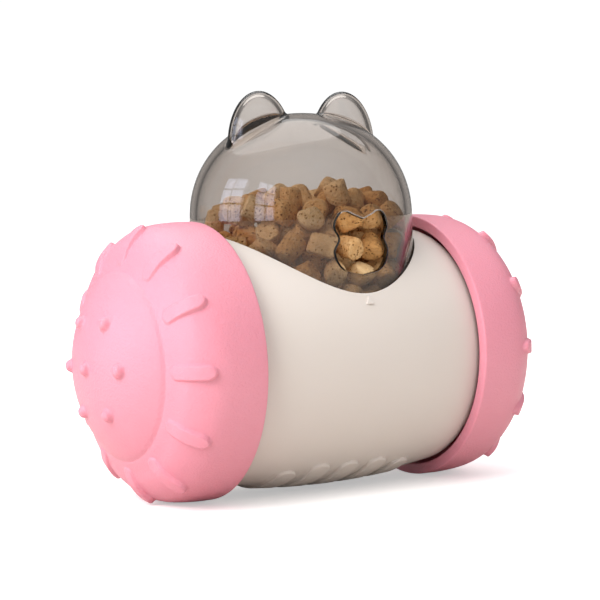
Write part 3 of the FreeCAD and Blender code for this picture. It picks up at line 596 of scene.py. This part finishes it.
dry_food, tree, shader = finish_named("baked_dry_food", {"Roughness": 0.8, "IOR": 1.45})
where = add(tree, "TexCoord").outputs["Object"]
# The pores are dents in the bump, and the colour goes to its darkest brown in their middles:
# painted shade in the pits, over the pieces' own baked tone.
pores = add(tree, "TexVoronoi", {"Vector": where, "Scale": 1 / (1.3 * MM)})
pit_depth_and_shade = add(tree, "MapRange", {"Value": pores.outputs["Distance"], "From Min": 0.05,
                             "From Max": 0.3}).outputs["Result"]
roast = add(tree, "Attribute", attribute_name="roast").outputs["Fac"]
mixed = add(tree, "Math", {0: roast, 1: speckle(tree, 2.0, 5.0)}, operation="ADD")
level = add(tree, "MapRange", {"Value": mixed.outputs["Value"], "From Min": 0.3, "From Max": 1.6,
                               "To Min": 0.18})
crust_and_pit_shade = add(tree, "Math", {0: level.outputs["Result"], 1: pit_depth_and_shade}, operation="MULTIPLY")
tone = blend(tree, crust_and_pit_shade.outputs["Value"], "#9A6234", "#F6D7A6")
tone.color_ramp.elements.new(0.35).color = linear("#DDA868")
rough = add(tree, "Math", {0: speckle(tree, 1.1, 5.0), 1: pit_depth_and_shade}, operation="ADD")
feed(tree, shader, {"Base Color": tone.outputs["Color"],
                    "Normal": dented(tree, rough.outputs["Value"], 1.0, 0.9)})


def middles(node):
    """Middles of a CAD node's loose solids, in millimetres, lowest first."""
    bm = bmesh.new()
    bm.from_mesh(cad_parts[node].data)
    bmesh.ops.remove_doubles(bm, verts=bm.verts, dist=0.001 * MM)
    left, found = set(bm.faces), []
    # Solids come in the mesh's order, so that those of one height keep theirs in every run.
    for seed in bm.faces:
        if seed not in left:
            continue
        left.remove(seed)
        ring, group = [seed], []
        while ring:
            face = ring.pop()
            group.append(face)
            for edge in face.edges:
                for other in edge.link_faces:
                    if other in left:
                        left.remove(other)
                        ring.append(other)
        area = sum(f.calc_area() for f in group)
        found.append(sum((f.calc_center_median() * f.calc_area() for f in group), Vector()) / area)
    bm.free()
    return sorted((tuple(round(c / MM, 2) for c in m) for m in found), key=lambda m: m[2])


def poured(places):
    """The same places with more food dropped on until the pile has its height."""
    side = numpy.arange(-pile_r, pile_r + 1, pile_step)
    spots = numpy.array([(x, y) for x in side for y in side if math.hypot(x, y) < pile_r])
    limit = pile_z + pile_rise * (1 - (numpy.hypot(*spots.T) / pile_r) ** 2)
    places = [numpy.array(p) for p in places]
    while True:
        drop = numpy.full(len(spots), head_low)
        for p in places:
            flat = ((spots - p[:2]) ** 2).sum(axis=1)
            high = p[2] + numpy.sqrt(numpy.maximum(treat_apart ** 2 - flat, 0))
            drop = numpy.maximum(drop, numpy.where(flat < treat_apart ** 2, high, head_low))
        wall = skin_gap(numpy.column_stack([spots, drop]), head_wall, ear_wall)
        drop[(drop > limit) | (wall > -treat_room)] = math.inf
        best = int(numpy.argmin(drop))
        if drop[best] == math.inf:
            return places
        places.append(numpy.append(spots[best], drop[best]))


def direction():
    """A random direction."""
    return Vector([random.gauss(0, 1) for _ in range(3)]).normalized()


random.seed(treat_seed)
bm = bmesh.new()
bmesh.ops.create_cone(bm, cap_ends=True, segments=treat_sides, radius1=treat_r, radius2=treat_r,
                      depth=2 * treat_half)
edges = [e for e in bm.edges if abs(e.verts[0].co.z - e.verts[1].co.z) < 0.1]
bmesh.ops.bevel(bm, geom=edges, offset=treat_round, segments=2, profile=0.5, affect="EDGES",
                material=-1)
for cap in [f for f in bm.faces if len(f.verts) > 4]:
    bmesh.ops.inset_individual(bm, faces=[cap], thickness=treat_inset)
bmesh.ops.poke(bm, faces=[f for f in bm.faces if len(f.verts) > 4])
pattern = bpy.data.meshes.new("treat_pattern")
bm.to_mesh(pattern)
bm.free()
bm = bmesh.new()
roasts = bm.verts.layers.float.new("roast")
for place in poured(middles("treats")):
    start = len(bm.verts)
    bm.from_mesh(pattern)
    bm.verts.ensure_lookup_table()
    bake, shift = random.uniform(0, 1), direction() * noise_reach
    swell = Vector([random.uniform(swell_low, swell_high) for _ in range(3)])
    turn = direction().to_track_quat("Z", "Y").to_matrix()
    flats = [(direction(), random.uniform(flat_low, flat_high)) for _ in range(flat_count)]
    for v in bm.verts[start:]:
        p = v.co * swell
        p += p.normalized() * noise.noise(p * puff_scale + shift) * puff_depth
        for way, deep in flats:
            p -= way * max(p.dot(way) - deep, 0) * flat_press
        p += p.normalized() * noise.noise(p * lump_scale + shift) * lump_depth
        p *= min(1, treat_reach / p.length)
        v.co = turn @ p + Vector(place)
        v[roasts] = bake
# What would come through the glass is pushed back inside it.
points = numpy.array([v.co[:] for v in bm.verts])
gaps = skin_gap(points, head_wall, ear_wall)
lean = numpy.stack([skin_gap(points + d, head_wall, ear_wall) - gaps
                    for d in numpy.eye(3) * probe], axis=1)
for v, deep, way in zip(bm.verts, gaps + glass_room, lean):
    if deep > 0 and v.co.z > head_low:
        v.co -= Vector(way).normalized() * deep
bmesh.ops.recalc_face_normals(bm, faces=bm.faces)
food = piece("dry_treats", bm, dry_food, "root", "dry_food", "treats")
rounding = food.modifiers.new("rounding", "SUBSURF")
rounding.levels = rounding.render_levels = 1

# Floor
# A sheet of white acrylic that runs on past the picture, lit from below so that it stays white.
# What it throws back on the toy is warm and dimmer, as from a floor further down.

floor_bounce, floor_glow, floor_lift = linear("#DAD3CC"), 0.42, 0.85
floor_half = 60

acrylic, tree, shader = finish_named("backlit_white_acrylic", {})
ray = add(tree, "LightPath")
lift = add(tree, "BsdfDiffuse", {"Color": (floor_lift, floor_lift, floor_lift, 1.0)})
glow = add(tree, "Emission", {"Strength": floor_glow})
lit = add(tree, "AddShader", {0: lift.outputs["BSDF"], 1: glow.outputs["Emission"]})
matt = add(tree, "BsdfDiffuse", {"Color": floor_bounce})
both = add(tree, "MixShader", {0: ray.outputs["Is Camera Ray"], 1: matt.outputs["BSDF"],
                               2: lit.outputs["Shader"]})
feed(tree, tree.nodes["Material Output"], {"Surface": both.outputs["Shader"]})
mesh = bpy.data.meshes.new("floor")
bm = bmesh.new()
bmesh.ops.create_grid(bm, x_segments=1, y_segments=1, size=floor_half)
bm.to_mesh(mesh)
bm.free()
mesh.materials.append(acrylic)
floor = bpy.data.objects.new("floor", mesh)
bpy.context.scene.collection.objects.link(floor)

# Room and windows
# A dim room with a bright ceiling, and behind the toy a white backdrop that only the glass sees,
# which turns dark past its edges. Two windows in the wall on the left and a round ceiling lamp
# show in the head. A wide lamp in the wall and a soft one nearer the toy light it without showing.

backdrop_way, backdrop_edge, backdrop_full = (0.537, 0.843, 0.0), 0.76, 0.93
room_white, room_dim, sky_low, sky_high = 1.03, 0.2, 0.5, 1.1
ceiling_edge, ceiling_full, ceiling_white = 0.45, 0.95, 0.8
wall_x = -3.0
windows = [(1.22, 0.8), (-1.12, 0.56)]
pane_height, pane_rows, pane_bar, pane_glow = 0.66, 3, 0.09, 9.5
sill_z = 0.04
daylight_y, daylight_z, daylight_watts = 0.1, 1.15, 50.0
daylight_width, daylight_height = 3.8, 2.2
soft_place, soft_size, soft_watts = (-1.5, -0.35, 1.35), 1.2, 30.0
toy_middle = (0, 0, 0.06)
panel_x, panel_y, panel_z, panel_size, panel_watts = 0.12, 0.62, 1.1, 1.35, 4.5

world = bpy.data.worlds.new("room")
bpy.context.scene.world = world
world.use_nodes = True
tree = world.node_tree
ray = add(tree, "LightPath")
way = add(tree, "TexCoord").outputs["Generated"]
high = add(tree, "SeparateXYZ", {"Vector": way}).outputs["Z"]
sky = spread(tree, high, sky_low, sky_high)
ceiling = add(tree, "MapRange", {"Value": high, "From Min": ceiling_edge, "From Max": ceiling_full,
                                 "To Min": room_dim, "To Max": ceiling_white})
ahead = add(tree, "VectorMath", {0: way, 1: backdrop_way}, operation="DOT_PRODUCT")
drop = add(tree, "MapRange", {"Value": ahead.outputs["Value"], "From Min": backdrop_edge,
                              "From Max": backdrop_full, "To Max": room_white})
behind = add(tree, "Math", {0: drop.outputs["Result"], 1: ray.outputs["Is Transmission Ray"]},
             operation="MULTIPLY")
shiny = add(tree, "Math", {0: behind.outputs["Value"], 1: ceiling.outputs["Result"]},
            operation="MAXIMUM")
sharp = add(tree, "Math", {0: ray.outputs["Is Glossy Ray"], 1: ray.outputs["Is Transmission Ray"]},
            operation="MAXIMUM")
level = spread(tree, sharp.outputs["Value"], sky, shiny.outputs["Value"])
shown = spread(tree, ray.outputs["Is Camera Ray"], level, room_white)
feed(tree, tree.nodes["Background"], {"Strength": shown, "Color": (1, 1, 1, 1)})


def soft_lamp(name, place, aim, width, height, watts, colour):
    """A flat soft lamp that faces its aim."""
    light = bpy.data.lights.new(name, "AREA")
    light.shape = "RECTANGLE"
    light.size, light.size_y = width, height
    light.energy = watts
    light.color = linear(colour)[:3]
    thing = bpy.data.objects.new(name, light)
    bpy.context.scene.collection.objects.link(thing)
    thing.location = place
    thing.rotation_mode = "QUATERNION"
    thing.rotation_quaternion = (Vector(aim) - Vector(place)).to_track_quat("-Z", "Y")
    return thing


for middle, width in windows:
    for column in (-0.5, 0.5):
        for row in range(pane_rows):
            y = middle + column * (width + pane_bar)
            z = sill_z + (row + 0.5) * (pane_height + pane_bar)
            pane = soft_lamp("pane", (wall_x, y, z), (0, y, z), width, pane_height,
                             pane_glow * width * pane_height, "#DDE5FF")
            pane.visible_diffuse = False
daylight = soft_lamp("daylight", (wall_x, daylight_y, daylight_z), (0, daylight_y, daylight_z),
                     daylight_width, daylight_height, daylight_watts, "#F1F4FF")
key = soft_lamp("key", soft_place, toy_middle, soft_size, soft_size, soft_watts, "#FFFBF6")
for lamp in (daylight, key):
    lamp.visible_glossy = lamp.visible_transmission = False
panel = soft_lamp("ceiling_lamp", (panel_x, panel_y, panel_z), (panel_x, panel_y, 0),
                  panel_size, panel_size, panel_watts, "#FFFFFF")
panel.data.shape = "DISK"

# Camera
# Where the photograph was taken from: a long lens at the height of the head, about 32 degrees
# round to the left of the front.

camera_place = Vector((-0.3787, -0.5939, 0.10725))
camera_aim = Vector((-0.00139, 0, 0.06994))
camera_roll = math.radians(-1.56)
camera = bpy.data.objects.new("camera", bpy.data.cameras.new("camera"))
bpy.context.scene.collection.objects.link(camera)
camera.data.lens = 113.3
camera.data.sensor_width = 36
camera.location = camera_place
camera.rotation_mode = "QUATERNION"
camera.rotation_quaternion = ((camera_aim - camera_place).to_track_quat("-Z", "Y") @
                              Matrix.Rotation(camera_roll, 3, "Z").to_quaternion())
bpy.context.scene.camera = camera
bpy.context.scene.view_settings.view_transform = "Standard"
